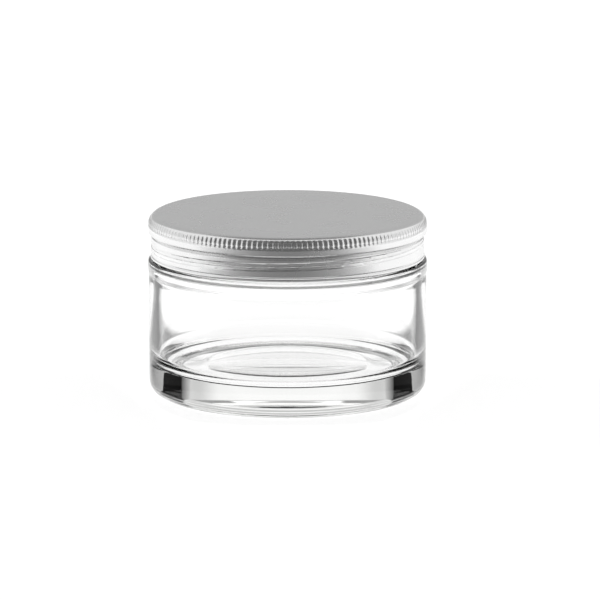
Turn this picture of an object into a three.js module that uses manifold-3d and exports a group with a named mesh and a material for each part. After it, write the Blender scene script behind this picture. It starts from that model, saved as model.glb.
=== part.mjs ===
// Cosmetic cream jar: a heavy-based clear glass jar with a screw neck, a rolled aluminium
// screw cap with a knurled band, and the three-ply foam liner that seals the cap to the rim.
// Millimetres, +Z up. The origin is the centre of the base, on the surface it stands on.
// The jar's front is -Y; the threads are right-handed, so the cap rises as it turns
// counter-clockwise seen from above.

import * as THREE from "three";
import { mergeGeometries, mergeVertices } from "three/addons/utils/BufferGeometryUtils.js";
import Module from "manifold-3d";

const wasm = await Module();
wasm.setup();

// ---- driving dimensions ----

// Whole object
const overallHeight = 55.8; // table to the top of the cap
const bodyDiameter = 86; // glass label panel
const capHeight = 13.4; // top of the cap to its hem

// Glass jar
const glassWall = 3; // body wall
const neckWall = 2; // wall behind the thread
const baseThickness = 8.3; // lowest ring of the inner floor above the table
const floorRingRadius = 25.7; // radius of that ring
const floorDome = 2.2; // middle of the floor above the ring
const floorSlope = 4.2; // degrees that the floor rises from the ring to the inner corner
const floorFillet = 5; // inner bottom corner
const heelRadius = 4; // outer bottom corner
const bearingWidth = 2.4; // flat ring that the jar stands on
const pushUpDepth = 1.8; // hollow under the base
const pushUpSlope = 2.4; // width of the slope into that hollow
const shoulderProud = 0.2; // shoulder outside the label panel
const shoulderRadius = 1; // round on top of the shoulder
const shoulderBand = 4.8; // shoulder's height above the groove under it
const grooveUnderShoulder = 0.2; // depth of that groove
const grooveRun = 1.2; // height over which it fades out on each side
const innerShoulderHeight = 3.5; // inside blend from body to neck
const innerShoulderRise = 1; // top of that blend above the shoulder
const rimRadius = 0.8; // round on both edges of the rim
const neckFillet = 0.8; // foot of the neck

// Thread on the glass
const threadPitch = 5.08; // five turns to the inch
const threadDepth = 1.5;
const threadCrest = 0.5; // half the width of the crest
const threadFlank = 0.6; // width of one flank
const threadBelowRim = 1.1; // clear neck above the top end
const threadAboveShoulder = 2.25; // clear neck under the bottom end

// Cap
const sheet = 0.4; // aluminium thickness
const capEdgeRadius = 2.85; // round between top and band
const bandStep = 0.6; // knurled band outside the skirt
const bandHeight = 5.6; // top of the cap to the band's lower lip
const lipRun = 0.7; // lower lip into the groove below it
const capGrooveDepth = 0.3; // ring groove under the band, below the skirt's radius
const capGrooveRise = 0.7; // ring groove back out to the skirt
const hemThickness = 0.7; // curled lower edge
const hemHeight = 1.1;
const capThreadDepth = 1; // thread rolled into the skirt
const capThreadCrest = 0.25;

// Knurls
const knurlPitch = 1.61;
const knurlDepth = 0.3;
const knurlFlat = 1.5; // groove width over twice its depth
const knurlTop = 0.8; // start below the top of the cap
const knurlBottom = 3.7;

// Liner
const foamThickness = 1;
const filmThickness = 0.15;
const linerOverlap = 1.4; // wad's edge outside the neck wall

// Clearances
const hemGap = 0.4; // hem to glass shoulder
const skirtGap = 0.5; // thread crest to the inside of the skirt
const flankGap = 0.6; // glass thread to cap thread, along the axis, less what the facets take
const linerEdgeGap = 0.15; // wad to the inside of the cap's round edge

// Facets
const segments = 60; // round every lathe
const arcSteps = 4; // per quarter of a round
const threadRow = 0.56; // tallest facet on a thread

// ---- heights and radii that follow ----

const linerThickness = foamThickness + 2 * filmThickness;
const capCeiling = overallHeight - sheet;
const rimHeight = capCeiling - linerThickness;
const hemBottom = overallHeight - capHeight;
const shoulderTop = hemBottom - hemGap;
const shoulderGroove = shoulderTop - shoulderBand;

const bodyRadius = bodyDiameter / 2;
const shoulderOuter = bodyRadius + shoulderProud;
const bandRadius = bodyRadius;
const skirtRadius = bandRadius - bandStep;
const threadRadius = skirtRadius - sheet - skirtGap;
const neckRadius = threadRadius - threadDepth;
const boreRadius = neckRadius - neckWall;
const innerRadius = bodyRadius - glassWall;

const threadHalf = threadCrest + threadFlank;
const threadHigh = rimHeight - threadBelowRim - threadHalf;
const threadLow = shoulderTop + threadAboveShoulder + threadHalf;
const threadMiddle = (threadHigh + threadLow) / 2;
const threadTurns = (threadHigh - threadLow) / threadPitch;

const capGroove = overallHeight - bandHeight - lipRun;
const capThreadHalf = capThreadCrest + threadFlank;
const capThreadMiddle = threadMiddle - threadHalf - capThreadCrest + threadFlank / 2 - flankGap;
const capThreadLow = hemBottom + hemHeight + capThreadHalf;
const capThreadTurns = (2 * (capThreadMiddle - capThreadLow)) / threadPitch;

// ---- helpers ----

const at = (radius, height) => new THREE.Vector2(radius, height);

// Points of a round in the lathe's plane, from one angle to another in degrees.
function round(centreRadius, centreHeight, radius, from, to) {
  const steps = Math.max(2, Math.ceil((Math.abs(to - from) / 90) * arcSteps));
  return Array.from({ length: steps + 1 }, (_, i) => {
    const angle = THREE.MathUtils.degToRad(from + ((to - from) * i) / steps);
    return at(centreRadius + radius * Math.cos(angle), centreHeight + radius * Math.sin(angle));
  });
}

// Evenly spaced points up or down a straight wall, for a thread to be pressed into.
function wallRows(radius, from, to) {
  const steps = Math.ceil(Math.abs(to - from) / threadRow);
  return Array.from({ length: steps + 1 }, (_, i) => at(radius, from + ((to - from) * i) / steps));
}

// Turns a profile about Z. The profile runs counter-clockwise round the material.
function turned(profile) {
  return new THREE.LatheGeometry(profile, segments).rotateX(Math.PI / 2);
}

// How far a helical ridge stands at a place on the wall, from 0 to 1. Angles count from the
// front, and each end runs out over endRun radians.
function ridge(angle, height, { middle, turns, crest, endRun }) {
  const reach = Math.PI * turns;
  let most = 0;
  for (let turn = -2; turn <= 2; turn++) {
    const along = angle + 2 * Math.PI * turn;
    const offset = Math.abs(height - middle - (threadPitch * along) / (2 * Math.PI));
    const across = THREE.MathUtils.clamp((crest + threadFlank - offset) / threadFlank, 0, 1);
    const end = THREE.MathUtils.smoothstep(reach - Math.abs(along), 0, endRun);
    most = Math.max(most, THREE.MathUtils.smoothstep(across, 0, 1) * end);
  }
  return most;
}

// Moves the wall between two heights in or out along a helix.
function pressThread(geometry, low, high, innerLimit, depth, helix) {
  const place = geometry.attributes.position;
  for (let i = 0; i < place.count; i++) {
    const [x, y, z] = [place.getX(i), place.getY(i), place.getZ(i)];
    const radius = Math.hypot(x, y);
    if (z < low || z > high || radius < innerLimit) continue;
    const scale = (radius + depth * ridge(Math.atan2(x, -y), z, helix)) / radius;
    place.setXYZ(i, x * scale, y * scale, z);
  }
  return geometry;
}

function toSolid(geometry) {
  const bare = geometry.clone();
  bare.deleteAttribute("normal");
  bare.deleteAttribute("uv");
  const merged = mergeVertices(bare, 1e-4);
  return new wasm.Manifold(
    new wasm.Mesh({
      numProp: 3,
      vertProperties: new Float32Array(merged.attributes.position.array),
      triVerts: new Uint32Array(merged.index.array),
    }),
  );
}

function toGeometry(solid) {
  const mesh = solid.getMesh();
  const geometry = new THREE.BufferGeometry();
  geometry.setAttribute("position", new THREE.BufferAttribute(mesh.vertProperties, 3));
  geometry.setIndex(new THREE.BufferAttribute(mesh.triVerts, 1));
  geometry.computeVertexNormals();
  return geometry;
}

function part(name, geometry, material) {
  const mesh = new THREE.Mesh(geometry, new THREE.MeshStandardMaterial(material));
  mesh.name = name;
  return mesh;
}

// ---- glass jar ----

// Under the base, round the heel and up the label panel to the top of the shoulder.
function jarOutside() {
  const heelInner = bodyRadius - heelRadius;
  const bearingInner = heelInner - bearingWidth;
  return [
    at(0, pushUpDepth),
    at(bearingInner - pushUpSlope, pushUpDepth),
    at(bearingInner, 0),
    ...round(heelInner, heelRadius, heelRadius, -90, 0),
    at(bodyRadius, shoulderGroove - grooveRun),
    at(bodyRadius - grooveUnderShoulder, shoulderGroove),
    at(shoulderOuter, shoulderGroove + grooveRun),
    ...round(shoulderOuter - shoulderRadius, shoulderTop - shoulderRadius, shoulderRadius, 0, 90),
  ];
}

// Up the outside of the neck, over the rim and down to the foot of its bore.
function jarNeck() {
  return [
    ...round(neckRadius + neckFillet, shoulderTop + neckFillet, neckFillet, 270, 180),
    ...wallRows(neckRadius, threadLow - threadHalf, threadHigh + threadHalf),
    ...round(neckRadius - rimRadius, rimHeight - rimRadius, rimRadius, 0, 90),
    ...round(boreRadius + rimRadius, rimHeight - rimRadius, rimRadius, 90, 180),
    at(boreRadius, shoulderTop + innerShoulderRise),
  ];
}

// Out from the bore to the body's inner wall, down it, round the corner, and across the floor,
// which falls to a ring and rises again to a low dome.
function jarInside() {
  const blend = [0.2, 0.4, 0.6, 0.8, 1].map((t) =>
    at(
      boreRadius + ((innerRadius - boreRadius) * (1 - Math.cos(Math.PI * t))) / 2,
      shoulderTop + innerShoulderRise - innerShoulderHeight * t,
    ),
  );
  const slope = THREE.MathUtils.degToRad(floorSlope);
  const cornerRadius = innerRadius - floorFillet;
  const slopeRise = (cornerRadius - floorRingRadius) * Math.tan(slope);
  const cornerHeight = baseThickness + slopeRise + floorFillet / Math.cos(slope);
  const dome = [1, 0.75, 0.5, 0.25, 0].map((t) =>
    at(floorRingRadius * t, baseThickness + floorDome * (1 - t * t)),
  );
  return [
    ...blend,
    ...round(cornerRadius, cornerHeight, floorFillet, 0, floorSlope - 90),
    ...dome,
  ];
}

function glassJar() {
  const body = turned([...jarOutside(), ...jarNeck(), ...jarInside()]);
  const helix = { middle: threadMiddle, turns: threadTurns, crest: threadCrest, endRun: 0.35 };
  const outsideOnly = (neckRadius + boreRadius) / 2;
  const low = threadLow - threadHalf;
  const high = threadHigh + threadHalf;
  return part("glass_jar", pressThread(body, low, high, outsideOnly, threadDepth, helix), {
    color: 0xf2f7f5,
    roughness: 0.03,
    metalness: 0,
    transparent: true,
    opacity: 0.35,
  });
}

// ---- cap ----

// From the ceiling, round the edge and down the inside to the hem.
function capInside() {
  const cornerRadius = capEdgeRadius - sheet;
  const cornerCentre = bandRadius - capEdgeRadius;
  const bandInner = bandRadius - sheet - knurlDepth;
  const turnEnd = THREE.MathUtils.radToDeg(Math.acos((bandInner - cornerCentre) / cornerRadius));
  const skirtInner = skirtRadius - sheet;
  return [
    at(0, capCeiling),
    ...round(cornerCentre, overallHeight - capEdgeRadius, cornerRadius, 90, turnEnd),
    at(bandInner, overallHeight - bandHeight),
    at(skirtInner - capGrooveDepth, capGroove),
    ...wallRows(skirtInner, capGroove - capGrooveRise, hemBottom + hemHeight),
    at(skirtRadius - hemThickness, hemBottom + hemHeight - (hemThickness - sheet)),
  ];
}

// Under the hem, up the skirt and the band, and over the edge to the centre of the top.
function capOutside() {
  const hemRound = hemThickness / 2;
  return [
    ...round(skirtRadius - hemRound, hemBottom + hemRound, hemRound, 180, 360),
    ...wallRows(skirtRadius, hemBottom + hemHeight, capGroove - capGrooveRise),
    at(skirtRadius - capGrooveDepth, capGroove),
    at(bandRadius, overallHeight - bandHeight),
    ...round(bandRadius - capEdgeRadius, overallHeight - capEdgeRadius, capEdgeRadius, 0, 90),
    at(0, overallHeight),
  ];
}

// One upright V-section bar for each knurl, standing round the band.
function knurlCutters() {
  const count = Math.round((2 * Math.PI * bandRadius) / knurlPitch);
  const half = 4 * knurlDepth;
  const bar = new THREE.CylinderGeometry(half, half, knurlBottom - knurlTop, 4, 1)
    .rotateX(Math.PI / 2)
    .scale(1, knurlFlat, 1)
    .translate(bandRadius + half - knurlDepth, 0, overallHeight - (knurlTop + knurlBottom) / 2);
  const bars = Array.from({ length: count }, (_, i) => {
    return bar.clone().rotateZ((2 * Math.PI * i) / count);
  });
  return mergeGeometries(bars);
}

function capShell() {
  const shell = turned([...capInside(), ...capOutside()]);
  const helix = {
    middle: capThreadMiddle,
    turns: capThreadTurns,
    crest: capThreadCrest,
    endRun: 0.5,
  };
  const low = hemBottom + hemHeight;
  const high = capGroove - capGrooveRise;
  pressThread(shell, low, high, neckRadius, -capThreadDepth, helix);
  const knurled = toSolid(shell).subtract(toSolid(knurlCutters()));
  return part("cap_shell", toGeometry(knurled), { color: 0xd9dadc, roughness: 0.32, metalness: 1 });
}

// ---- liner ----

function ply(name, low, high, lowRadius, highRadius, material) {
  const profile = [at(0, low), at(lowRadius, low), at(highRadius, high), at(0, high)];
  return part(name, turned(profile), material);
}

// The foam wad between its two films. Its upper edge is squeezed in by the cap's round edge.
function linerPlies() {
  const wide = neckRadius + linerOverlap;
  const narrow = bandRadius - capEdgeRadius - linerEdgeGap;
  const foamLow = rimHeight + filmThickness;
  const foamHigh = foamLow + foamThickness;
  const film = { color: 0xf4f4f2, roughness: 0.35, metalness: 0 };
  const foam = { color: 0xfafaf8, roughness: 0.8, metalness: 0 };
  return [
    ply("liner_face_lower", rimHeight, foamLow, wide, wide, film),
    ply("liner_foam", foamLow, foamHigh, wide, narrow, foam),
    ply("liner_face_upper", foamHigh, capCeiling, narrow, narrow, film),
  ];
}

// ---- assembly ----

const creamJar = new THREE.Group();
creamJar.name = "cream_jar";
creamJar.add(glassJar(), capShell(), ...linerPlies());

export default creamJar;
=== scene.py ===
"""Cosmetic cream jar: a clear heavy-based glass jar, its knurled aluminium screw cap and the foam
liner inside the cap, standing on a pale floor in soft studio light.

Everything is in metres, +Z up, with the origin at the centre of the jar's base. The front is -Y.
"""
from __future__ import annotations

import logging
import math
from collections.abc import Callable, Iterable
from dataclasses import dataclass, field
from enum import Enum

import bpy
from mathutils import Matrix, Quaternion, Vector


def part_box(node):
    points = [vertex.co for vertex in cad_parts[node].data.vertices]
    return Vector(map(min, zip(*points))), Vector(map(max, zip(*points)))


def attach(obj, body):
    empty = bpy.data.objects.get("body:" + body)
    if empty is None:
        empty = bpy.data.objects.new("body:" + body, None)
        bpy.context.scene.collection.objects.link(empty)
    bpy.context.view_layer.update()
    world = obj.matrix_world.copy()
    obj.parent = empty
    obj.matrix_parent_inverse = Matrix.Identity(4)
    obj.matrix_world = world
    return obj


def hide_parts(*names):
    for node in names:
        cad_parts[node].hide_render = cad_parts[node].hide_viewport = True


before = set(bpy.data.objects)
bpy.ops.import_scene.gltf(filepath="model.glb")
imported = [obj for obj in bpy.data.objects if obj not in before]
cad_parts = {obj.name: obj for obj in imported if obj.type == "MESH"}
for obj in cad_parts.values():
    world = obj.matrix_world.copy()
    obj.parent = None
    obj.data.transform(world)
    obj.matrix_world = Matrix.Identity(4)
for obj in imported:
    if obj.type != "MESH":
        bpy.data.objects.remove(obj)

MM = 0.001
SAME_POINT = MM / 200  # outline points nearer than this are one
MERGE_DISTANCE = MM / 1000
SHARP_ANGLE = 38  # degrees; edges that turn more stay sharp
log = logging.getLogger("cream_jar")

Point = tuple[float, float]
Weight = Callable[[Vector], float]


# ---------------------------------------------------------------------------------------------
# Shaping
# ---------------------------------------------------------------------------------------------


def smooth(value: float, low: float, high: float) -> float:
    """Ease from 0 at low to 1 at high.

    Args:
        value: The number to place between the two ends.
        low: Where the result is 0.
        high: Where the result is 1.

    Returns:
        A number from 0 to 1.
    """
    t = min(1.0, max(0.0, (value - low) / (high - low)))
    return t * t * (3 - 2 * t)


class Outline:
    """Half of a turned piece's section: radius and height, in metres, drawn point by point."""

    def __init__(self, radius: float, height: float) -> None:
        """Start the outline at one point."""
        self.points: list[Point] = [(radius, height)]

    def line(self, radius: float, height: float, steps: int = 1) -> Outline:
        """Draw a straight stretch.

        Args:
            radius: Radius at its end.
            height: Height at its end.
            steps: Even pieces that the stretch is cut into.

        Returns:
            The outline itself, so that stretches can be chained.
        """
        r0, z0 = self.points[-1]
        for i in range(1, steps + 1):
            t = i / steps
            self.points.append((r0 + (radius - r0) * t, z0 + (height - z0) * t))
        return self

    def arc(self, centre: Point, radius: float, start: float, end: float, steps: int) -> Outline:
        """Draw a round stretch.

        Args:
            centre: Radius and height of the arc's centre.
            radius: Radius of the arc.
            start: Angle of its first point in degrees, from the outward direction.
            end: Angle of its last point in degrees.
            steps: Even pieces that the arc is cut into.

        Returns:
            The outline itself.
        """
        for i in range(steps + 1):
            angle = math.radians(start + (end - start) * i / steps)
            point = (centre[0] + radius * math.cos(angle), centre[1] + radius * math.sin(angle))
            if math.dist(point, self.points[-1]) > SAME_POINT:
                self.points.append(point)
        return self

    def ease(self, radius: float, height: float, steps: int) -> Outline:
        """Draw an S-shaped stretch that starts and ends upright.

        Args:
            radius: Radius at its end.
            height: Height at its end.
            steps: Even pieces in height.

        Returns:
            The outline itself.
        """
        r0, z0 = self.points[-1]
        for i in range(1, steps + 1):
            t = i / steps
            share = (1 - math.cos(math.pi * t)) / 2
            self.points.append((r0 + (radius - r0) * share, z0 + (height - z0) * t))
        return self


def turn(name: str, outline: Outline, segments: int) -> bpy.types.Object:
    """Turn an outline about Z into a closed piece.

    The outline is drawn by extruding one vertex, then spun a full turn. Its ends lie on the axis,
    or it ends where it began.

    Args:
        name: Name of the new piece.
        outline: The half section.
        segments: Steps round the axis.

    Returns:
        The new mesh object, at the origin, with its faces pointing out.
    """
    bpy.ops.object.select_all(action="DESELECT")
    bpy.ops.mesh.primitive_plane_add(size=MM, location=(0, 0, 0))
    piece = bpy.context.object
    piece.name = piece.data.name = name
    bpy.ops.object.mode_set(mode="EDIT")
    bpy.ops.mesh.select_mode(type="VERT")
    bpy.ops.mesh.select_all(action="SELECT")
    bpy.ops.mesh.merge(type="CENTER")
    (r, z), *rest = outline.points
    bpy.ops.transform.translate(value=(r, 0, z))
    for r_next, z_next in rest:
        step = (r_next - r, 0, z_next - z)
        bpy.ops.mesh.extrude_region_move(TRANSFORM_OT_translate={"value": step})
        r, z = r_next, z_next
    bpy.ops.mesh.select_all(action="SELECT")
    bpy.ops.mesh.spin(steps=segments, angle=math.tau, center=(0, 0, 0), axis=(0, 0, 1))
    bpy.ops.mesh.select_all(action="SELECT")
    bpy.ops.mesh.remove_doubles(threshold=MERGE_DISTANCE)
    bpy.ops.mesh.normals_make_consistent(inside=False)
    bpy.ops.object.mode_set(mode="OBJECT")
    bpy.ops.object.shade_smooth_by_angle(angle=math.radians(SHARP_ANGLE))
    return piece


def press(piece: bpy.types.Object, name: str, depth: float, weight: Weight) -> None:
    """Push part of a surface along its normals.

    Args:
        piece: The piece to shape.
        name: Name of the vertex group that marks the pressed part.
        depth: How far a fully marked vertex moves out; negative moves it in.
        weight: Gives the mark, from 0 to 1, at a place on the piece.
    """
    group = piece.vertex_groups.new(name=name)
    for vertex in piece.data.vertices:
        amount = weight(vertex.co)
        if amount > 0:
            group.add([vertex.index], amount, "REPLACE")
    displace = piece.modifiers.new(name, "DISPLACE")
    displace.vertex_group = name
    displace.strength = depth
    displace.mid_level = 0
    bpy.ops.object.select_all(action="DESELECT")
    bpy.context.view_layer.objects.active = piece
    piece.select_set(True)
    bpy.ops.object.modifier_apply(modifier=displace.name)
    piece.vertex_groups.remove(piece.vertex_groups[name])


@dataclass(frozen=True)
class Helix:
    """A right-handed thread ridge. Angles count from the front, towards +X."""

    middle: float  # height where the ridge crosses the front
    turns: float
    crest: float  # half the crest's width
    flank: float  # width of one flank
    end_run: float  # radians over which each end runs out
    pitch: float = 5.08 * MM

    def at(self, place: Vector) -> float:
        """Tell how fully the ridge stands at a place.

        Args:
            place: A point on the wall that carries the thread.

        Returns:
            0 off the ridge, 1 on its crest, and between them on its flanks and ends.
        """
        angle = math.atan2(place.x, -place.y)
        most = 0.0
        for turn_number in (-1, 0, 1):
            along = angle + math.tau * turn_number
            offset = abs(place.z - self.middle - self.pitch * along / math.tau)
            across = 1 - smooth(offset, self.crest, self.crest + self.flank)
            end = smooth(math.pi * self.turns - abs(along), 0, self.end_run)
            most = max(most, across * end)
        return most


# ---------------------------------------------------------------------------------------------
# Materials
# ---------------------------------------------------------------------------------------------


class Wiring:
    """Adds nodes to a node tree and links them."""

    def __init__(self, tree: bpy.types.NodeTree) -> None:
        """Work on one tree."""
        self.tree = tree

    def add(self, kind: str, **inputs: object) -> bpy.types.Node:
        """Add a node and set or link its inputs.

        Args:
            kind: The node's type, without the ShaderNode that it starts with.
            inputs: Input names, with _ for a space, and the value or output socket each takes.
                A name that isn't an input is set as a property of the node.

        Returns:
            The new node.
        """
        node = self.tree.nodes.new(f"ShaderNode{kind}")
        properties = {k: v for k, v in inputs.items() if hasattr(node, k)}
        for key, value in properties.items():
            setattr(node, key, value)
        for key, value in inputs.items():
            if key in properties:
                continue
            self.feed(node, key.replace("_", " "), value)
        return node

    def feed(self, node: bpy.types.Node, socket: str | int, value: object) -> None:
        """Set one input of a node, or link an output socket to it.

        Args:
            node: The node that takes the value.
            socket: Name or number of its input.
            value: A plain value, or the output socket of another node.
        """
        target = node.inputs[socket]
        if isinstance(value, bpy.types.NodeSocket):
            self.tree.links.new(value, target)
        else:
            target.default_value = value

    def math(self, operation: str, a: object, b: object = 0.0) -> bpy.types.NodeSocket:
        """Add a Math node.

        Args:
            operation: What it does with its inputs.
            a: First value or output socket.
            b: Second value or output socket.

        Returns:
            The node's output.
        """
        node = self.add("Math", operation=operation)
        self.feed(node, 0, a)
        self.feed(node, 1, b)
        return node.outputs[0]

    def remap(self, value: object, low: float, high: float, to: Point) -> bpy.types.NodeSocket:
        """Ease a value from one range to another.

        Args:
            value: The value's output socket.
            low: The value that gives the first end of to.
            high: The value that gives the second end of to.
            to: The two ends of the result.

        Returns:
            The eased value's output.
        """
        node = self.add("MapRange", interpolation_type="SMOOTHSTEP", Value=value)
        self.feed(node, "From Min", low)
        self.feed(node, "From Max", high)
        self.feed(node, "To Min", to[0])
        self.feed(node, "To Max", to[1])
        return node.outputs[0]


class Effect(Enum):
    """Surface effects that several finishes share, each one node group built once."""

    GRAIN = "fine_grain"
    MARKS = "handling_marks"
    EDGES = "edge_wear_and_crease_shade"

    def group(self) -> bpy.types.NodeTree:
        """Build the effect's node group the first time, and find it again after that.

        Returns:
            The node group.
        """
        found = bpy.data.node_groups.get(self.value)
        return found or {
            Effect.GRAIN: build_grain,
            Effect.MARKS: build_marks,
            Effect.EDGES: build_edges,
        }[self]()

    def place(self, wiring: Wiring, **inputs: object) -> bpy.types.Node:
        """Add the effect to a material, with its own values.

        Args:
            wiring: The material's wiring.
            inputs: The group's inputs, with _ for a space, and the value each takes.

        Returns:
            The group's node.
        """
        node = wiring.add("Group", node_tree=self.group())
        for key, value in inputs.items():
            wiring.feed(node, key.replace("_", " "), value)
        return node


GroupParts = tuple[Wiring, bpy.types.Node, bpy.types.Node]


def new_group(effect: Effect, inputs: dict[str, float | None], outputs: Iterable[str]) -> GroupParts:
    """Make an empty node group.

    Args:
        effect: The effect it is for.
        inputs: Input names and defaults; None makes a vector input.
        outputs: Names of its value outputs.

    Returns:
        The group's wiring, its input node and its output node.
    """
    tree = bpy.data.node_groups.new(effect.value, "ShaderNodeTree")
    for name, default in inputs.items():
        kind = "NodeSocketVector" if default is None else "NodeSocketFloat"
        socket = tree.interface.new_socket(name, in_out="INPUT", socket_type=kind)
        if default is not None:
            socket.default_value = default
    for name in outputs:
        tree.interface.new_socket(name, in_out="OUTPUT", socket_type="NodeSocketFloat")
    source, sink = tree.nodes.new("NodeGroupInput"), tree.nodes.new("NodeGroupOutput")
    return Wiring(tree), source, sink


def build_grain() -> bpy.types.NodeTree:
    """Build the fine grain: a close-set height, and a slow mottling mask over it.

    Returns:
        The node group.
    """
    inputs = {"Vector": None, "Scale": 3000.0, "Mottle Scale": 60.0}
    wiring, source, sink = new_group(Effect.GRAIN, inputs, ["Height", "Mottle"])
    fine = wiring.add("TexNoise", Vector=source.outputs["Vector"], Scale=source.outputs["Scale"])
    wiring.feed(fine, "Detail", 3.0)
    slow = wiring.add("TexNoise", Vector=source.outputs["Vector"], Detail=4.0)
    wiring.feed(slow, "Scale", source.outputs["Mottle Scale"])
    wiring.feed(sink, "Height", fine.outputs[0])
    wiring.feed(sink, "Mottle", wiring.remap(slow.outputs[0], 0.3, 0.7, (0, 1)))
    return wiring.tree


def build_marks() -> bpy.types.NodeTree:
    """Build the handling marks: soft smudges crossed by a few thin hairlines.

    Returns:
        The node group.
    """
    inputs = {"Vector": None, "Smudge Scale": 35.0, "Line Scale": 90.0}
    wiring, source, sink = new_group(Effect.MARKS, inputs, ["Smudges", "Hairlines"])
    vector = source.outputs["Vector"]
    smudge = wiring.add("TexNoise", Vector=vector, Detail=5.0, Distortion=0.6)
    wiring.feed(smudge, "Scale", source.outputs["Smudge Scale"])
    wiring.feed(sink, "Smudges", wiring.remap(smudge.outputs[0], 0.52, 0.72, (0, 1)))
    bent = wiring.add("TexNoise", Vector=vector, Scale=22.0, Detail=2.0)
    stretch = wiring.add("VectorMath", operation="MULTIPLY")
    wiring.feed(stretch, 0, vector)
    wiring.feed(stretch, 1, (1.0, 0.12, 1.0))
    lines = wiring.add("TexVoronoi", feature="DISTANCE_TO_EDGE", Vector=stretch.outputs[0])
    wiring.feed(lines, "Scale", source.outputs["Line Scale"])
    thin = wiring.remap(lines.outputs["Distance"], 0.0, 0.012, (1, 0))
    some = wiring.remap(bent.outputs[0], 0.55, 0.62, (0, 1))
    wiring.feed(sink, "Hairlines", wiring.math("MULTIPLY", thin, some))
    return wiring.tree


def build_edges() -> bpy.types.NodeTree:
    """Build the edge wear and crease shade: a worn mask on outward edges, and a mask for painted shade
    in creases.

    Returns:
        The node group.
    """
    inputs = {"Vector": None, "Sharpness": 0.52, "Break Up": 400.0}
    wiring, source, sink = new_group(Effect.EDGES, inputs, ["Mask", "Crease"])
    geometry = wiring.add("NewGeometry")
    edge = wiring.add("MapRange", Value=geometry.outputs["Pointiness"])
    wiring.feed(edge, "From Min", source.outputs["Sharpness"])
    wiring.feed(edge, "From Max", wiring.math("ADD", source.outputs["Sharpness"], 0.06))
    noise = wiring.add("TexNoise", Vector=source.outputs["Vector"], Detail=2.0)
    wiring.feed(noise, "Scale", source.outputs["Break Up"])
    broken = wiring.remap(noise.outputs[0], 0.35, 0.6, (0.3, 1))
    wiring.feed(sink, "Mask", wiring.math("MULTIPLY", edge.outputs[0], broken))
    # painted shade: marks the creases, where the base colour is darkened
    crease = wiring.remap(geometry.outputs["Pointiness"], 0.36, 0.46, (1, 0))
    wiring.feed(sink, "Crease", crease)
    return wiring.tree


def new_material(name: str) -> tuple[bpy.types.Material, Wiring, bpy.types.Node]:
    """Make a material with a Principled shader.

    Args:
        name: Name of the material.

    Returns:
        The material, its wiring and the shader.
    """
    material = bpy.data.materials.new(name)
    material.use_nodes = True
    wiring = Wiring(material.node_tree)
    return material, wiring, material.node_tree.nodes["Principled BSDF"]


MIX_FACTOR, MIX_COLOUR_A, MIX_COLOUR_B = 0, 6, 7  # inputs of a Mix node set to colour
MIX_RESULT = 2  # its colour output


def mixed(wiring: Wiring, factor: object, a: object, b: object) -> bpy.types.NodeSocket:
    """Mix two colours.

    Args:
        wiring: The wiring to add the mix to.
        factor: 0 for all of a, 1 for all of b.
        a: First colour.
        b: Second colour.

    Returns:
        The mixed colour's output.
    """
    node = wiring.add("Mix", data_type="RGBA")
    wiring.feed(node, MIX_FACTOR, factor)
    wiring.feed(node, MIX_COLOUR_A, a)
    wiring.feed(node, MIX_COLOUR_B, b)
    return node.outputs[MIX_RESULT]


def grey(level: float) -> tuple[float, float, float, float]:
    """Give a neutral colour."""
    return (level, level, level, 1.0)


@dataclass(frozen=True)
class ClearGlass:
    """Polished container glass with a faint tint and the slight waviness of a moulded wall."""

    ior: float = 1.52
    tint: tuple[float, float, float, float] = (0.92, 0.93, 0.89, 1.0)
    tint_density: float = 3.0
    wave: float = 0.02
    smudged: float = 0.02  # roughness where fingers touched it

    def build(self) -> bpy.types.Material:
        """Make the material.

        Returns:
            The material.
        """
        material, wiring, shader = new_material("clear_glass")
        place = wiring.add("TexCoord").outputs["Object"]
        shader.inputs["Base Color"].default_value = grey(1.0)
        shader.inputs["IOR"].default_value = self.ior
        shader.inputs["Transmission Weight"].default_value = 1.0
        marks = Effect.MARKS.place(wiring, Vector=place, Smudge_Scale=28.0, Line_Scale=40.0)
        roughness = wiring.remap(marks.outputs["Smudges"], 0, 1, (0.0, self.smudged))
        wiring.feed(shader, "Roughness", roughness)
        grain = Effect.GRAIN.place(wiring, Vector=place, Scale=55.0, Mottle_Scale=12.0)
        bump = wiring.add("Bump", Strength=self.wave, Height=grain.outputs["Height"])
        wiring.feed(bump, "Distance", MM / 2)
        wiring.feed(shader, "Normal", bump.outputs[0])
        absorb = wiring.add("VolumeAbsorption", Color=self.tint, Density=self.tint_density)
        output = material.node_tree.nodes["Material Output"]
        wiring.feed(output, "Volume", absorb.outputs[0])
        return material


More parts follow.
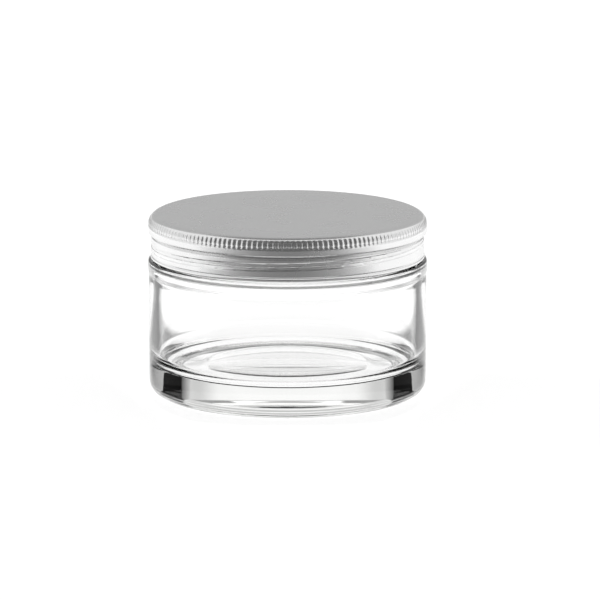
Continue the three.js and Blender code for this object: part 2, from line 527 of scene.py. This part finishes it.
@dataclass(frozen=True)
class SatinAluminium:
    """Satin-anodised sheet: fine grain, a slow mottle, edges rubbed a little brighter, and painted
    shade in its creases.
    """

    face: float = 0.79
    rubbed: float = 0.84
    crease_shade: float = 0.75  # how strongly painted shade darkens the creases
    mottle: float = 0.99  # share of the face's brightness left in mottled spots
    roughness: Point = (0.25, 0.28)
    smudge: float = 0.006  # roughness that smudges add
    hairline: float = -0.1  # height of a scratch against the grain's
    relief: float = 0.03

    def build(self) -> bpy.types.Material:
        """Make the material.

        Returns:
            The material.
        """
        material, wiring, shader = new_material("satin_aluminium")
        place = wiring.add("TexCoord").outputs["Object"]
        grain = Effect.GRAIN.place(wiring, Vector=place, Scale=5200.0, Mottle_Scale=70.0)
        marks = Effect.MARKS.place(wiring, Vector=place, Smudge_Scale=40.0, Line_Scale=130.0)
        edges = Effect.EDGES.place(wiring, Vector=place)
        shader.inputs["Metallic"].default_value = 1.0
        mottled = mixed(wiring, grain.outputs["Mottle"], grey(self.face), grey(self.face * self.mottle))
        worn = mixed(wiring, edges.outputs["Mask"], mottled, grey(self.rubbed))
        # painted shade: the base colour is darkened in creases, where the sheet shades itself
        crease_shade_mask = wiring.math("MULTIPLY", edges.outputs["Crease"], self.crease_shade)
        colour = mixed(wiring, crease_shade_mask, worn, grey(self.face / 4))
        wiring.feed(shader, "Base Color", colour)
        base = wiring.remap(grain.outputs["Mottle"], 0, 1, self.roughness)
        smudged = wiring.math("MULTIPLY_ADD", marks.outputs["Smudges"], self.smudge)
        wiring.feed(smudged.node, 2, base)
        wiring.feed(shader, "Roughness", smudged)
        line = wiring.math("MULTIPLY", marks.outputs["Hairlines"], self.hairline)
        height = wiring.math("ADD", grain.outputs["Height"], line)
        bump = wiring.add("Bump", Strength=self.relief, Height=height)
        wiring.feed(bump, "Distance", MM / 50)
        wiring.feed(shader, "Normal", bump.outputs[0])
        return material


@dataclass(frozen=True)
class LinerPlastic:
    """White polyethylene, as a smooth film or as closed-cell foam."""

    name: str
    colour: tuple[float, float, float, float]
    roughness: float
    cell_scale: float
    cell_depth: float
    cell_relief: float = 0.35
    mottle: float = 0.94  # share of the colour left in mottled spots
    scatter: float = 0.15  # share of light that passes below the surface

    def build(self) -> bpy.types.Material:
        """Make the material.

        Returns:
            The material.
        """
        material, wiring, shader = new_material(self.name)
        place = wiring.add("TexCoord").outputs["Object"]
        cells = wiring.add("TexVoronoi", Vector=place, Scale=self.cell_scale)
        grain = Effect.GRAIN.place(wiring, Vector=place, Scale=2500.0, Mottle_Scale=90.0)
        darker = tuple(self.mottle * c for c in self.colour[:3]) + (1.0,)
        colour = mixed(wiring, grain.outputs["Mottle"], self.colour, darker)
        wiring.feed(shader, "Base Color", colour)
        low, high = self.roughness * 0.9, min(1.0, self.roughness * 1.15)
        wiring.feed(shader, "Roughness", wiring.remap(grain.outputs["Mottle"], 0, 1, (low, high)))
        shader.inputs["Subsurface Weight"].default_value = self.scatter
        shader.inputs["Subsurface Radius"].default_value = (MM, MM, MM)
        bump = wiring.add("Bump", Strength=self.cell_relief, Height=cells.outputs["Distance"])
        wiring.feed(bump, "Distance", self.cell_depth)
        wiring.feed(shader, "Normal", bump.outputs[0])
        return material


@dataclass(frozen=True)
class StudioFloor:
    """White table top, lit so that it meets the background without a line."""

    colour: tuple[float, float, float, float] = (0.4, 0.4, 0.4, 1.0)
    mottle: float = 1.01  # how much lighter the mottled spots are
    glow: float = 0.68
    roughness: float = 0.12
    gloss: float = 0.12

    def build(self) -> bpy.types.Material:
        """Make the material.

        Returns:
            The material.
        """
        material, wiring, shader = new_material("studio_floor")
        place = wiring.add("TexCoord").outputs["Object"]
        grain = Effect.GRAIN.place(wiring, Vector=place, Scale=800.0, Mottle_Scale=6.0)
        lighter = tuple(self.mottle * c for c in self.colour[:3]) + (1.0,)
        colour = mixed(wiring, grain.outputs["Mottle"], self.colour, lighter)
        wiring.feed(shader, "Base Color", colour)
        shader.inputs["Roughness"].default_value = self.roughness
        shader.inputs["Specular IOR Level"].default_value = self.gloss
        shader.inputs["Emission Color"].default_value = grey(1.0)
        shader.inputs["Emission Strength"].default_value = self.glow
        return material


# ---------------------------------------------------------------------------------------------
# Pieces
# ---------------------------------------------------------------------------------------------


@dataclass
class GlassJar:
    """The jar: heavy base, label panel, shoulder and threaded neck, in one closed piece."""

    wall: float = 3 * MM
    neck_wall: float = 2 * MM
    floor_height: float = 8.3 * MM  # the floor's lowest ring
    floor_ring: float = 25.7 * MM  # radius of that ring
    floor_dome: float = 2.2 * MM
    floor_slope: float = 4.2  # degrees, from the ring out to the corner
    floor_fillet: float = 5 * MM
    heel: float = 4 * MM
    bearing: float = 2.4 * MM
    push_up: float = 1.8 * MM
    push_up_slope: float = 3.4 * MM
    shoulder_proud: float = 0.2 * MM
    shoulder_round: float = 1.0 * MM
    shoulder_band: float = 4.8 * MM
    groove: float = 0.13 * MM
    groove_run: float = 1.6 * MM
    inner_shoulder: float = 3.5 * MM
    inner_shoulder_rise: float = 1 * MM
    hem_gap: float = 0.4 * MM
    neck_foot: float = 0.8 * MM  # round where the neck meets the shoulder
    thread_depth: float = 1.5 * MM
    thread_reach: float = 1.5 * MM  # cap band to thread crest, measured inwards
    rim_round: float = 0.8 * MM
    thread_crest: float = 0.5 * MM
    thread_flank: float = 0.6 * MM
    thread_below_rim: float = 1.1 * MM
    thread_above_shoulder: float = 2.25 * MM
    thread_run_out: float = 0.35  # radians
    thread_row: float = 0.19 * MM  # height of one row of faces on the neck
    wall_skin: float = 0.1 * MM  # what lies this near the neck's outside can be raised
    dome_steps: int = 24
    segments: int = 320
    finish: ClearGlass = field(default_factory=ClearGlass)

    def __post_init__(self) -> None:
        """Take the outer radius, the rim and the shoulder from the frame."""
        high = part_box("glass_jar")[1]
        cap_low, cap_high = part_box("cap_shell")
        self.outer = high.x
        self.rim = high.z
        self.shoulder = cap_low.z - self.hem_gap
        self.body = self.outer - self.shoulder_proud
        self.neck = cap_high.x - self.thread_reach - self.thread_depth
        self.bore = self.neck - self.neck_wall
        self.inside = self.body - self.wall

    def outline(self) -> Outline:
        """Draw the jar's half section, from under the base round to the inner floor.

        Returns:
            The outline.
        """
        heel_inner = self.body - self.heel
        bearing_inner = heel_inner - self.bearing
        groove = self.shoulder - self.shoulder_band
        o = Outline(0, self.push_up)
        o.line(bearing_inner - self.push_up_slope, self.push_up, 8)
        o.ease(bearing_inner, 0, 8)
        o.line(heel_inner, 0, 2)
        o.arc((heel_inner, self.heel), self.heel, -90, 0, 14)
        o.line(self.body, groove - self.groove_run, 12)
        o.ease(self.body - self.groove, groove, 5)
        o.ease(self.outer, groove + self.groove_run, 6)
        centre = (self.outer - self.shoulder_round, self.shoulder - self.shoulder_round)
        o.arc(centre, self.shoulder_round, 0, 90, 14)
        foot = (self.neck + self.neck_foot, self.shoulder + self.neck_foot)
        o.arc(foot, self.neck_foot, 270, 180, 6)
        top = self.rim - self.rim_round
        o.line(self.neck, top, math.ceil((top - o.points[-1][1]) / self.thread_row))
        o.arc((self.neck - self.rim_round, top), self.rim_round, 0, 90, 8)
        o.arc((self.bore + self.rim_round, top), self.rim_round, 90, 180, 8)
        blend_top = self.shoulder + self.inner_shoulder_rise
        o.line(self.bore, blend_top, 4)
        o.ease(self.inside, blend_top - self.inner_shoulder, 16)
        self.draw_floor(o)
        return o

    def draw_floor(self, o: Outline) -> None:
        """Draw the inner wall, the corner, the sloping floor and its low dome.

        Args:
            o: The outline that they are added to.
        """
        slope = math.radians(self.floor_slope)
        corner = self.inside - self.floor_fillet
        rise = (corner - self.floor_ring) * math.tan(slope)
        height = self.floor_height + rise + self.floor_fillet / math.cos(slope)
        o.line(self.inside, height, 10)
        o.arc((corner, height), self.floor_fillet, 0, self.floor_slope - 90, 20)
        o.line(self.floor_ring, self.floor_height, 6)
        for i in range(1, self.dome_steps + 1):
            share = 1 - i / self.dome_steps
            dome = self.floor_dome * (1 - share * share)
            o.line(self.floor_ring * share, self.floor_height + dome)

    def thread(self) -> Helix:
        """Place the thread between the rim and the shoulder.

        Returns:
            The thread's ridge.
        """
        half = self.thread_crest + self.thread_flank
        high = self.rim - self.thread_below_rim - half
        low = self.shoulder + self.thread_above_shoulder + half
        return Helix(
            middle=(high + low) / 2,
            turns=(high - low) / Helix.pitch,
            crest=self.thread_crest,
            flank=self.thread_flank,
            end_run=self.thread_run_out,
        )

    def build(self) -> bpy.types.Object:
        """Make the jar, raise its thread and put it on its body.

        Returns:
            The jar.
        """
        jar = turn("moulded_glass_jar", self.outline(), self.segments)
        thread = self.thread()
        wall = self.neck - self.wall_skin
        press(
            jar,
            "neck_thread",
            self.thread_depth,
            lambda v: thread.at(v) if v.z > self.shoulder and v.xy.length > wall else 0.0,
        )
        jar.data.materials.append(self.finish.build())
        jar.visible_diffuse = False  # clear glass lets soft light through
        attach(jar, "jar")
        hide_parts("glass_jar")
        return jar


@dataclass
class ScrewCap:
    """The cap: one rolled sheet with a round edge, knurled band, rolled thread and curled hem."""

    sheet: float = 0.4 * MM
    edge: float = 2.85 * MM
    band_step: float = 0.6 * MM
    band_height: float = 5.6 * MM
    lip: float = 0.7 * MM
    groove_depth: float = 0.45 * MM
    groove_rise: float = 0.6 * MM
    lip_round: float = 0.25 * MM  # how far the band's lower edge is rounded in
    lip_drop: float = 0.1 * MM  # from the band's foot down to that edge
    lip_rise: float = 0.15 * MM  # and up to where the band is straight
    hem_height: float = 1.1 * MM
    hem_proud: float = 0.2 * MM  # how far the curled bead stands out of the skirt
    hem_thickness: float = 0.7 * MM
    hem_curl: float = 0.5 * MM  # height over which the bead closes inside
    hem_crown: float = 0.45 * MM  # and outside
    hem_pinch: float = 0.1 * MM  # depth of the crease above the bead
    hem_relax: float = 0.3 * MM  # height over which the crease fades
    thread_depth: float = 0.75 * MM
    thread_middle: float = 46.95 * MM
    thread_turns: float = 0.9
    thread_crest: float = 0.2 * MM
    thread_flank: float = 1.1 * MM
    thread_run_out: float = 0.5  # radians
    knurls: int = 168
    knurl_depth: float = 0.38 * MM
    knurl_top: float = 0.8 * MM
    knurl_bottom: float = 3.7 * MM
    knurl_run_out: float = 0.5 * MM
    knurl_slope: Point = (-1.0, 0.3)  # on a cosine: crest of the knurl, edge of the groove's floor
    steps_per_knurl: int = 4
    wall_rows: int = 40  # rows that carry the rolled thread
    finish: SatinAluminium = field(default_factory=SatinAluminium)

    def __post_init__(self) -> None:
        """Take the cap's top, hem and band radius from the frame."""
        low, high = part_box("cap_shell")
        self.hem, self.top, self.band = low.z, high.z, high.x
        self.skirt = self.band - self.band_step
        self.groove_height = self.top - self.band_height - self.lip

    def outline(self) -> Outline:
        """Draw the cap's half section, from the ceiling down the inside and up the outside.

        Returns:
            The outline.
        """
        corner = (self.band - self.edge, self.top - self.edge)
        band_inner = self.band - self.sheet - self.knurl_depth
        inner_edge = self.edge - self.sheet
        last = math.degrees(math.acos((band_inner - corner[0]) / inner_edge))
        skirt_outer = self.skirt - self.hem_proud
        skirt_inner = skirt_outer - self.sheet
        band_foot = self.top - self.band_height
        wall_top = self.groove_height - self.groove_rise
        wall_foot = self.hem + self.hem_height
        hem_round = self.hem_thickness / 2
        o = Outline(0, self.top - self.sheet)
        o.line(corner[0], self.top - self.sheet, 4)
        o.arc(corner, inner_edge, 90, last, 6)
        o.line(band_inner, band_foot, 2)
        o.ease(skirt_inner - self.groove_depth, self.groove_height, 4)
        o.ease(skirt_inner, wall_top, 4)
        o.line(skirt_inner, wall_foot, 16)
        o.ease(self.skirt - self.hem_thickness, wall_foot - self.hem_curl, 4)
        o.arc((self.skirt - hem_round, self.hem + hem_round), hem_round, 180, 360, 12)
        o.line(self.skirt, wall_foot - self.hem_crown, 2)
        o.ease(skirt_outer - self.hem_pinch, wall_foot, 4)
        o.ease(skirt_outer, wall_foot + self.hem_relax, 3)
        o.line(skirt_outer, wall_top, self.wall_rows)
        o.ease(skirt_outer - self.groove_depth, self.groove_height, 6)
        o.line(self.band - self.lip_round, band_foot - self.lip_drop, 2)
        o.ease(self.band, band_foot + self.lip_rise, 4)
        o.line(self.band, self.top - self.edge, 9)
        o.arc(corner, self.edge, 0, 90, 12)
        o.line(0, self.top, 4)
        return o

    def knurl(self, place: Vector) -> float:
        """Tell how deep the knurl groove is at a place.

        Args:
            place: A point on the cap.

        Returns:
            0 off the band and on a knurl's crest, 1 at the bottom of a groove.
        """
        if place.xy.length < self.band - self.edge:
            return 0.0
        angle = math.atan2(place.x, -place.y)
        across = smooth(math.cos(angle * self.knurls), *self.knurl_slope)
        below_top = self.top - self.knurl_top - place.z
        above_foot = place.z - (self.top - self.knurl_bottom)
        ends = smooth(below_top, 0, self.knurl_run_out) * smooth(above_foot, 0, self.knurl_run_out)
        return across * ends

    def build(self) -> bpy.types.Object:
        """Make the cap, roll in its knurls and thread, and put it on its body.

        Returns:
            The cap.
        """
        cap = turn("knurled_screw_cap", self.outline(), self.knurls * self.steps_per_knurl)
        helix = Helix(
            middle=self.thread_middle,
            turns=self.thread_turns,
            crest=self.thread_crest,
            flank=self.thread_flank,
            end_run=self.thread_run_out,
        )
        middle = self.skirt - self.hem_proud - self.sheet / 2
        low, high = self.hem + self.hem_height, self.groove_height - self.groove_rise

        def outer(v: Vector) -> float:
            """Mark the thread on the skirt's outside."""
            return helix.at(v) if low < v.z < high and v.xy.length > middle else 0.0

        def inner(v: Vector) -> float:
            """Mark the thread on the skirt's inside."""
            return helix.at(v) if low < v.z < high and v.xy.length <= middle else 0.0

        def band(v: Vector) -> float:
            """Mark the knurls on the band's outside."""
            return self.knurl(v) if self.on_outside(v) else 0.0

        press(cap, "knurls", -self.knurl_depth, band)
        press(cap, "thread_outside", -self.thread_depth, outer)
        press(cap, "thread_inside", self.thread_depth, inner)
        cap.data.materials.append(self.finish.build())
        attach(cap, "cap")
        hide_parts("cap_shell")
        return cap

    def on_outside(self, place: Vector) -> bool:
        """Tell the sheet's outer skin from its inner one above the band's lower lip.

        Args:
            place: A point on the cap.

        Returns:
            True on the outer skin.
        """
        corner_r, corner_z = self.band - self.edge, self.top - self.edge
        if place.z <= corner_z:
            return place.xy.length > self.band - self.sheet / 2
        reach = math.hypot(place.xy.length - corner_r, place.z - corner_z)
        return reach > self.edge - self.sheet / 2


@dataclass
class Liner:
    """The wad in the cap: a foam core between two films, its top edge squeezed by the cap."""

    soft_edge: float = 0.05 * MM
    core_squeeze: float = 0.7 * MM  # height of the foam core's slanted edge
    segments: int = 240

    def ply(self, name: str, node: str, top_radius: float, squeeze: float) -> bpy.types.Object:
        """Make one ply inside its CAD solid's box.

        Args:
            name: Name of the piece.
            node: The CAD node that it stands for.
            top_radius: Radius of its upper face.
            squeeze: Height of the slanted part of its edge.

        Returns:
            The new piece.
        """
        low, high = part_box(node)
        soft = self.soft_edge
        o = Outline(0, low.z).line(high.x - soft, low.z, 6)
        o.arc((high.x - soft, low.z + soft), soft, -90, 0, 4)
        o.line(high.x, max(low.z + soft, high.z - max(squeeze, soft)), 2)
        if squeeze > soft:
            o.ease(top_radius, high.z, 8)
        else:
            o.arc((high.x - soft, high.z - soft), soft, 0, 90, 4)
        o.line(0, high.z, 6)
        piece = turn(name, o, self.segments)
        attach(piece, "liner")
        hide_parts(node)
        return piece

    def build(self) -> list[bpy.types.Object]:
        """Make the three plies and put them on their body.

        Returns:
            The upper film, the core and the lower film.
        """
        film = LinerPlastic("liner_film", (0.9, 0.9, 0.89, 1.0), 0.32, 1500.0, MM / 100)
        foam = LinerPlastic("liner_foam", (0.92, 0.92, 0.91, 1.0), 0.75, 1800.0, MM / 20)
        film_material, foam_material = film.build(), foam.build()
        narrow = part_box("liner_face_upper")[1].x
        upper = self.ply("wad_upper_film", "liner_face_upper", narrow, 0)
        core = self.ply("wad_foam_core", "liner_foam", narrow, self.core_squeeze)
        lower = self.ply("wad_lower_film", "liner_face_lower", narrow, 0)
        for piece in (upper, lower):
            piece.data.materials.append(film_material)
        core.data.materials.append(foam_material)
        return [upper, core, lower]


# ---------------------------------------------------------------------------------------------
# Studio
# ---------------------------------------------------------------------------------------------


class Seen(Enum):
    """Which rays meet a studio card. No card shows to the camera itself."""

    IN_METAL = "glossy"
    IN_GLASS = "transmission"
    IN_BOTH = "both"


@dataclass(frozen=True)
class Card:
    """A flat studio card or soft box. Bearings count from straight behind the jar, in degrees."""

    name: str
    bearing: Point  # round to the right, and up from the table
    span: Point  # degrees covered across and up
    radiance: float
    seen: Seen
    soft: Point = (0.02, 0.02)  # shares of its width and height over which it fades out
    tilt: float = 0  # degrees, clockwise as the jar sees it
    distance: float = 1.0

    def build(self) -> bpy.types.Object:
        """Stand the card up, facing the jar.

        Returns:
            The card.
        """
        azimuth, elevation = map(math.radians, self.bearing)
        level = self.distance * math.cos(elevation)
        centre = Vector((level * math.sin(azimuth), level * math.cos(azimuth), 0))
        centre.z = self.distance * math.sin(elevation)
        card = self.plane(centre, [2 * math.tan(math.radians(a) / 2) for a in self.span])
        card.rotation_mode = "QUATERNION"
        roll = Quaternion((0, 0, 1), math.radians(self.tilt))
        card.rotation_quaternion = (-centre).to_track_quat("Z", "Y") @ roll
        return card

    def plane(self, centre: Vector, size: Iterable[float]) -> bpy.types.Object:
        """Make the card itself, an even glow that fades out towards its edges.

        Args:
            centre: Where it goes.
            size: Width and height at a distance of one metre.

        Returns:
            The card, staged and hidden from the camera.
        """
        bpy.ops.object.select_all(action="DESELECT")
        bpy.ops.mesh.primitive_plane_add(size=2, location=centre)
        card = bpy.context.object
        card.name = self.name
        width, height = size
        card.scale = (self.distance * width / 2, self.distance * height / 2, 1)
        card.data.materials.append(self.material())
        card.visible_camera = card.visible_diffuse = card.visible_shadow = False
        card.visible_glossy = self.seen is not Seen.IN_GLASS
        card.visible_transmission = self.seen is not Seen.IN_METAL
        return card

    def material(self) -> bpy.types.Material:
        """Make the card's glow, clear at its very edge.

        Returns:
            The material.
        """
        material, wiring, _ = new_material(self.name)
        place = wiring.add("SeparateXYZ", Vector=wiring.add("TexCoord").outputs["Object"])
        edges = [wiring.math("ABSOLUTE", place.outputs[axis]) for axis in "XY"]
        fades = [wiring.remap(e, 1 - soft, 1, (1, 0)) for e, soft in zip(edges, self.soft)]
        glow = wiring.add("Emission", Color=grey(1.0), Strength=self.radiance)
        mix = wiring.add("MixShader", Fac=wiring.math("MULTIPLY", *fades))
        wiring.feed(mix, 1, wiring.add("BsdfTransparent").outputs[0])
        wiring.feed(mix, 2, glow.outputs[0])
        output = material.node_tree.nodes["Material Output"]
        wiring.feed(output, "Surface", mix.outputs[0])
        return material


@dataclass(frozen=True)
class Strip(Card):
    """A card that lies on the table and points at the jar."""

    reach: Point = (0.09, 0.25)  # nearest and farthest point from the jar's axis
    height: float = -MM / 50  # just above the table, just below the jar's foot

    def build(self) -> bpy.types.Object:
        """Lay the strip down along its bearing.

        Returns:
            The strip.
        """
        azimuth = math.radians(self.bearing[0])
        middle, length = sum(self.reach) / 2, self.reach[1] - self.reach[0]
        width = 2 * middle * math.tan(math.radians(self.span[0]) / 2)
        centre = Vector((middle * math.sin(azimuth), middle * math.cos(azimuth), self.height))
        strip = self.plane(centre, (width, length))
        strip.rotation_euler = (0, 0, -azimuth)
        return strip


@dataclass
class Studio:
    """Pale floor, white surround, soft boxes and cards, and the camera."""

    distance: float = 1.2
    pitch: float = 11.68  # degrees that the camera looks down
    aim_height: float = 28 * MM
    lens: float = 232.2  # millimetres
    sensor: float = 36.0
    shift: Point = (0.020667, 0.001667)  # shares of the frame; the jar stands a little to the left
    farthest: float = 20.0  # where the camera's view ends
    floor_size: float = 8.0
    floor_drop: float = 0.05 * MM  # keeps the table's surface clear of the jar's foot
    surround: float = 1.0

    def camera(self) -> None:
        """Set the camera at its distance and pitch, in front of the jar."""
        bpy.ops.object.camera_add()
        camera = bpy.context.object
        pitch = math.radians(self.pitch)
        camera.location = (
            0,
            -self.distance * math.cos(pitch),
            self.aim_height + self.distance * math.sin(pitch),
        )
        camera.rotation_euler = (math.pi / 2 - pitch, 0, 0)
        camera.data.sensor_width = self.sensor
        camera.data.lens = self.lens
        camera.data.shift_x, camera.data.shift_y = self.shift
        camera.data.clip_end = self.farthest
        bpy.context.scene.camera = camera

    def floor(self) -> None:
        """Lay the white table top."""
        bpy.ops.object.select_all(action="DESELECT")
        bpy.ops.mesh.primitive_plane_add(size=self.floor_size, location=(0, 0, -self.floor_drop))
        floor = bpy.context.object
        floor.name = "studio_floor"
        floor.data.materials.append(StudioFloor().build())

    def world(self) -> None:
        """Surround everything with even white light."""
        world = bpy.data.worlds.new("studio_surround")
        world.use_nodes = True
        bpy.context.scene.world = world
        background = world.node_tree.nodes["Background"]
        background.inputs["Color"].default_value = grey(1.0)
        background.inputs["Strength"].default_value = self.surround

    def side_cards(self, hand: str, side: int) -> list[Card]:
        """List the cards that stand on one side.

        Args:
            hand: The side's name.
            side: -1 on the left and 1 on the right.

        Returns:
            The cards, not built yet.
        """
        glass, metal = Seen.IN_GLASS, Seen.IN_METAL
        return [
            Card(f"{hand}_flag", (side * 44, 9), (19, 17), 0.0, glass, tilt=side * 20),
            Card(f"{hand}_side_card", (side * 90, 10), (76, 20), 0.55, glass),
            Strip(
                f"{hand}_strip", (side * 49, 0), (25, 0), 0.12, glass, (0.4, 0.2),
                reach=(0.065, 0.26),
            ),
            Card(f"{hand}_haze", (side * 29, 12), (20, 14), 0.68, glass, (0.9, 0.6)),
            Strip(
                f"{hand}_far_strip", (side * 24, 0), (28, 0), 0.35, glass, (0.4, 0.1),
                reach=(0.29, 1.1),
            ),
            # painted shade in reflections: a dim strip at the jar's foot stands in for the shade on the
            # table there
            Strip(
                f"{hand}_foot_shade_strip", (side * 108, 0), (70, 0), 0.1, metal, (0.3, 0.3),
                reach=(0.04, 0.12),
            ),
        ]

    def middle_cards(self) -> list[Card]:
        """List the cards behind, above and in front of the jar.

        Returns:
            The cards, not built yet.
        """
        glass, metal, both = Seen.IN_GLASS, Seen.IN_METAL, Seen.IN_BOTH
        return [
            Card("back_card", (0, 44), (56, 44), 0.35, glass),
            Card("low_back_card", (0, 4), (76, 8), 0.55, glass, (0.2, 0.1)),
            Card("metal_back_card", (0, 34), (80, 68), 0.53, metal, (0.2, 0.2)),
            Card("front_card", (180, 24), (120, 70), 0.12, both, (0.5, 0.3)),
            Card("metal_top_card", (0, 80), (60, 40), 0.2, metal, (0.4, 0.4)),
            Strip(
                "metal_front_strip", (180, 0), (66, 0), 0.24, metal, (0.7, 0.1),
                reach=(0.06, 1.1),
            ),
        ]

    def build(self) -> None:
        """Build the whole studio."""
        self.camera()
        self.floor()
        self.world()
        bpy.context.scene.view_settings.view_transform = "Standard"
        cards = self.side_cards("left", -1) + self.side_cards("right", 1) + self.middle_cards()
        for card in cards:
            card.build()


def main() -> None:
    """Build the studio and every piece."""
    logging.basicConfig(level=logging.INFO, format="%(name)s: %(message)s")
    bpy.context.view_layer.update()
    Studio().build()
    log.info("studio ready")
    jar = GlassJar().build()
    log.info("%s: %d faces", jar.name, len(jar.data.polygons))
    cap = ScrewCap().build()
    log.info("%s: %d faces", cap.name, len(cap.data.polygons))
    for piece in Liner().build():
        log.info("%s: %d faces", piece.name, len(piece.data.polygons))


if __name__ == "__main__":
    main()
